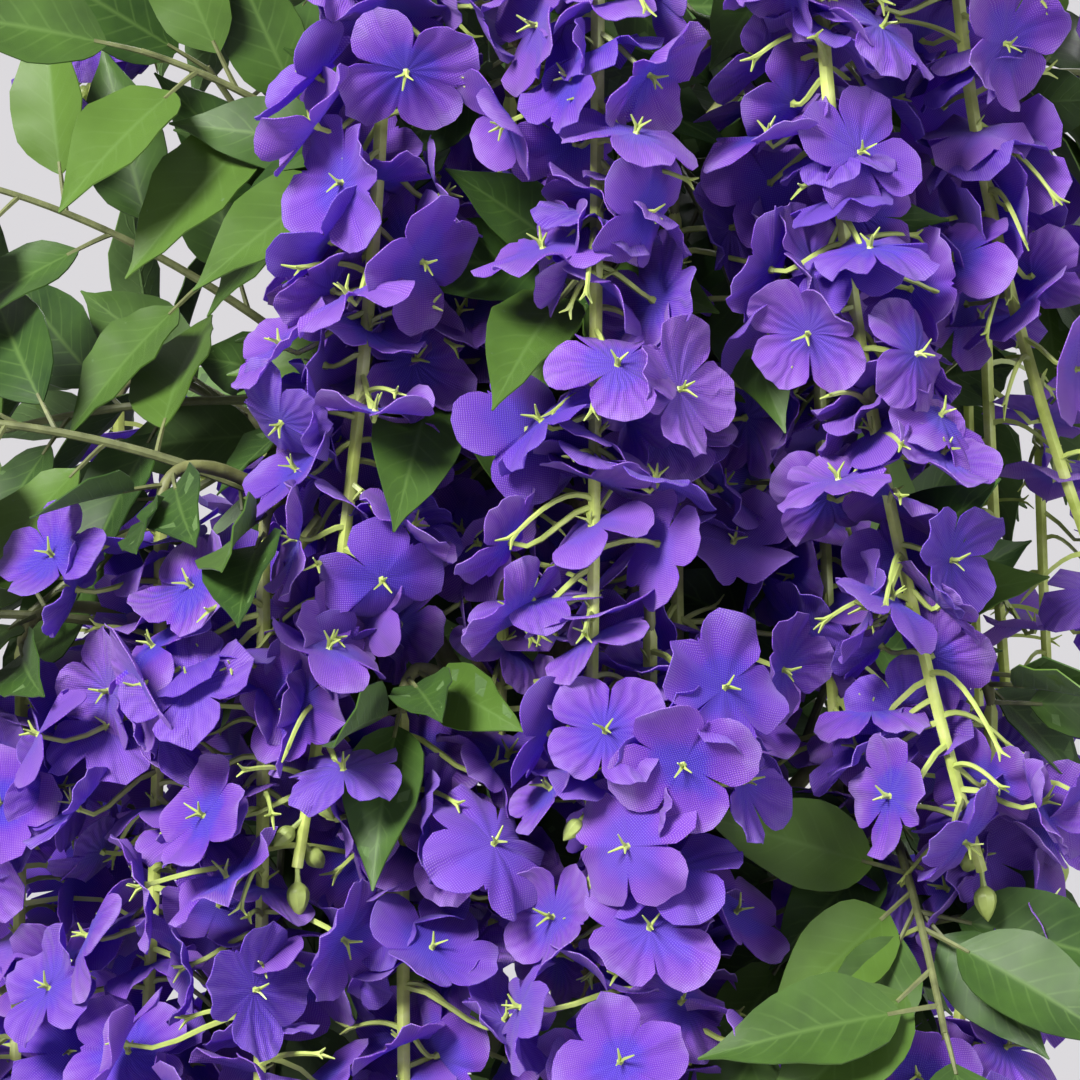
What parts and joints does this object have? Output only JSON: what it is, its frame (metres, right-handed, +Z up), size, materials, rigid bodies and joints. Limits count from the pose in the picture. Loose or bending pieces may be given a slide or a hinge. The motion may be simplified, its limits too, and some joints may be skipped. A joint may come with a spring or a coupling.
{
  "type": "potted artificial wisteria",
  "caption": "Artificial wisteria tree with a twisted trunk, hanging violet flower racemes and leafy sprays, standing in a plain round pot.",
  "frame": {"origin": "middle of the underside of the pot, where it stands", "axes": "+Z up along the pot's axis; -Y is the front of the plant, +X its right side seen from the front"},
  "size_m": [0.5726, 0.4911, 1.0749],
  "materials": {
    "pot": "satin, faintly grained",
    "ballast": "cast cement, rough",
    "soil": "dry crumbled filler with moss",
    "bark": "dry fissured bark",
    "floret": "woven fabric petals on moulded green stems",
    "leaf": "printed satin fabric"
  },
  "bodies": {
    "root": {"pot": "pot", "ballast": "ballast", "soil": "soil", "trunk": "bark", "raceme_01": "floret", "raceme_02": "floret", "raceme_03": "floret", "raceme_04": "floret", "raceme_05": "floret", "raceme_06": "floret", "raceme_07": "floret", "raceme_08": "floret", "raceme_09": "floret", "raceme_10": "floret", "raceme_11": "floret", "raceme_12": "floret", "raceme_13": "floret", "raceme_14": "floret", "raceme_15": "floret", "raceme_16": "floret", "raceme_17": "floret", "raceme_18": "floret", "raceme_19": "floret", "raceme_20": "floret", "raceme_21": "floret", "raceme_22": "floret", "raceme_23": "floret", "raceme_24": "floret", "raceme_25": "floret", "raceme_26": "floret", "raceme_27": "floret", "raceme_28": "floret", "raceme_29": "floret", "raceme_30": "floret", "spray_01": "leaf", "spray_02": "leaf", "spray_03": "leaf", "spray_04": "leaf", "spray_05": "leaf", "spray_06": "leaf", "spray_07": "leaf", "spray_08": "leaf", "spray_09": "leaf", "spray_10": "leaf", "spray_11": "leaf", "spray_12": "leaf", "spray_13": "leaf", "spray_14": "leaf", "spray_15": "leaf", "spray_16": "leaf", "spray_17": "leaf", "spray_18": "leaf", "spray_19": "leaf", "spray_20": "leaf", "spray_21": "leaf", "spray_22": "leaf", "spray_23": "leaf", "spray_24": "leaf", "spray_25": "leaf", "spray_26": "leaf"}
  },
  "joints": []
}
